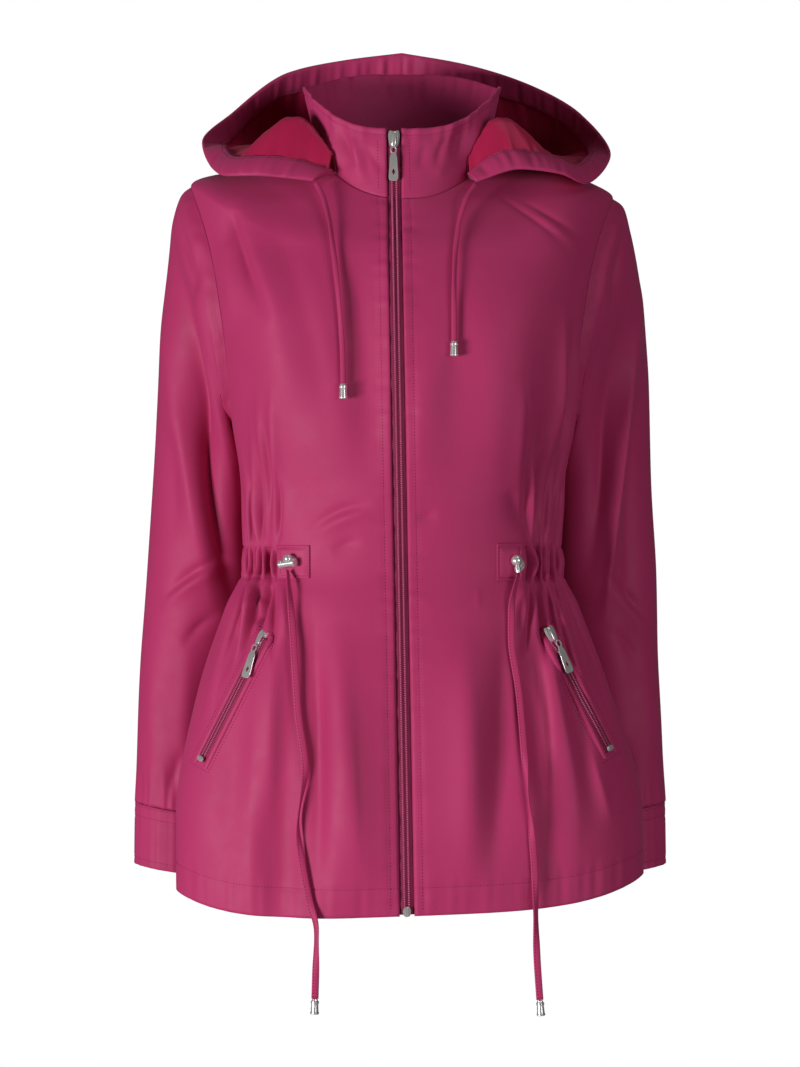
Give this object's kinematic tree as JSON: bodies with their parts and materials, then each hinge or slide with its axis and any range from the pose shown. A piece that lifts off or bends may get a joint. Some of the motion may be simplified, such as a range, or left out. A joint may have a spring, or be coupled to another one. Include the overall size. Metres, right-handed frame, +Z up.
{
  "type": "lightweight hooded jacket",
  "caption": "Thin raspberry wind jacket in its worn form: stand collar, lined hood lying back, full front zip, slanted zip pockets and a drawcord waist.",
  "frame": {"origin": "centre of the neck opening at shoulder height, where the wearer's neck holds the jacket", "axes": "+Z up, the front faces -Y, +X to the right as seen from the front"},
  "size_m": [0.5049, 0.3692, 0.8971],
  "materials": {
    "shell_fabric": "fine plain weave with a soft sheen",
    "lining_fabric": "satin",
    "zip_tape": "woven",
    "zip_coil": "semi-matte",
    "metal": "polished"
  },
  "bodies": {
    "jacket": {"front_left": "shell_fabric", "front_right": "shell_fabric", "back": "shell_fabric", "sleeve_left": "shell_fabric", "sleeve_right": "shell_fabric", "cuff_left": "shell_fabric", "cuff_right": "shell_fabric", "collar": "shell_fabric", "hood_left": "shell_fabric", "hood_centre": "shell_fabric", "hood_right": "shell_fabric", "hood_lining": "lining_fabric", "hood_casing": "shell_fabric", "front_zip_tape": "zip_tape", "front_zip_coil": "zip_coil", "front_zip_slider": "metal", "front_zip_stop": "metal", "pocket_zip_left": "zip_coil", "pocket_zip_right": "zip_coil", "pocket_slider_left": "metal", "pocket_slider_right": "metal", "pocket_stop_left": "metal", "pocket_stop_right": "metal", "waist_patch_left": "shell_fabric", "waist_patch_right": "shell_fabric", "waist_lock_left": "metal", "waist_lock_right": "metal", "hood_cord_left": "shell_fabric", "hood_cord_right": "shell_fabric", "hood_cord_end_left": "metal", "hood_cord_end_right": "metal", "waist_cord_left": "shell_fabric", "waist_cord_right": "shell_fabric", "waist_cord_end_left": "metal", "waist_cord_end_right": "metal"},
    "front_tab": {"front_zip_pull": "metal"},
    "left_pocket_tab": {"pocket_pull_left": "metal"},
    "right_pocket_tab": {"pocket_pull_right": "metal"}
  },
  "joints": [
    {"name": "front_tab_swing", "type": "hinge", "parent": "jacket", "child": "front_tab", "pos_m": [-0.00766, -0.08668, 0.00132], "axis": [-1, 0, 0], "range_deg": [0, 150]},
    {"name": "left_pocket_tab_swing", "type": "hinge", "parent": "jacket", "child": "left_pocket_tab", "pos_m": [-0.13212, -0.10464, -0.44973], "axis": [-0.8262, 0.5456, 0.1404], "range_deg": [0, 150]},
    {"name": "right_pocket_tab_swing", "type": "hinge", "parent": "jacket", "child": "right_pocket_tab", "pos_m": [0.14018, -0.0978, -0.44602], "axis": [-0.7807, -0.5728, -0.2498], "range_deg": [0, 150]}
  ]
}
